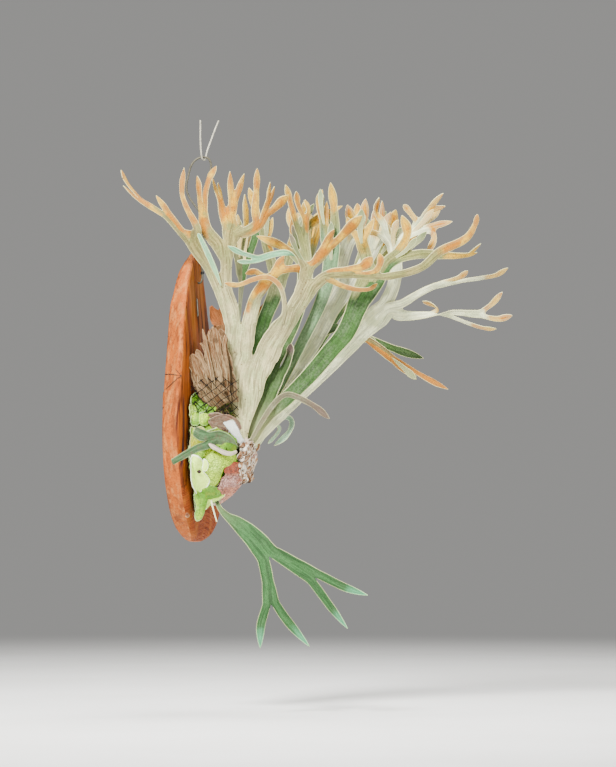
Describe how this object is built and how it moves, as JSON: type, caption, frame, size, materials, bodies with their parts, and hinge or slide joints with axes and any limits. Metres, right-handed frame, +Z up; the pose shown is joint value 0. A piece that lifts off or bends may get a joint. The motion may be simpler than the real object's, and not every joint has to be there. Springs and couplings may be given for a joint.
{
  "type": "mounted staghorn fern",
  "caption": "Staghorn fern with forked antler fronds growing from shield fronds, wired to a pointed oval wooden board that hangs from a wire loop.",
  "frame": {"origin": "crest of the wire loop that the board hangs from", "axes": "+Z up, +Y towards the wall that the board's flat back faces, +X to the right of someone facing the board; the fern grows out towards -Y"},
  "size_m": [0.3936, 0.4949, 0.7374],
  "materials": {
    "board_wood": "oiled slab with dark grain and a live edge",
    "hanger_steel": "dull grey-brown wire",
    "tie_wire": "dark wire",
    "staple_steel": "dull grey wire",
    "hanging_steel": "pale wire",
    "root_ball": "roots and moss",
    "net_plastic": "black net",
    "shield_green": "waxy living shield frond",
    "shield_old": "browning shield frond",
    "shield_side": "waxy living shield frond",
    "shield_dry": "dried, papery shield frond",
    "shield_mauve": "young felted shield frond",
    "bud_scales": "papery scales",
    "frond_silver": "silvery felt, rusty towards the tips",
    "frond_pale_silver": "pale silvery felt",
    "frond_dark_green": "dark green with pale down",
    "frond_green": "green with pale down",
    "frond_blue_green": "blue-green with pale down",
    "frond_wool": "white wool",
    "thin_stalk": "pale green stalk"
  },
  "bodies": {
    "root": {"board": "board_wood", "hanger_wire": "hanger_steel", "tie_wire": "tie_wire", "staple_wire": "staple_steel", "hanging_wire": "hanging_steel", "root_ball": "root_ball", "net": "net_plastic", "shield_green": "shield_green", "shield_old": "shield_old", "shield_side": "shield_side", "shield_dry_near": "shield_dry", "shield_dry_mid": "shield_dry", "shield_dry_far": "shield_dry", "shield_mauve": "shield_mauve", "bud": "bud_scales", "frond_near_silver": "frond_silver", "frond_mid_silver": "frond_silver", "frond_right_silver": "frond_pale_silver", "frond_dark_green": "frond_dark_green", "frond_back_droop": "frond_dark_green", "frond_small_forked": "frond_dark_green", "frond_strap": "frond_dark_green", "frond_broad_green": "frond_green", "frond_green_behind": "frond_green", "frond_rear_left": "frond_silver", "frond_rear_middle": "frond_silver", "frond_rear_right": "frond_green", "frond_hanging": "frond_green", "frond_blue_green": "frond_blue_green", "frond_small_arch": "frond_blue_green", "frond_woolly_stub": "frond_wool", "thin_stalk": "thin_stalk"}
  },
  "joints": []
}
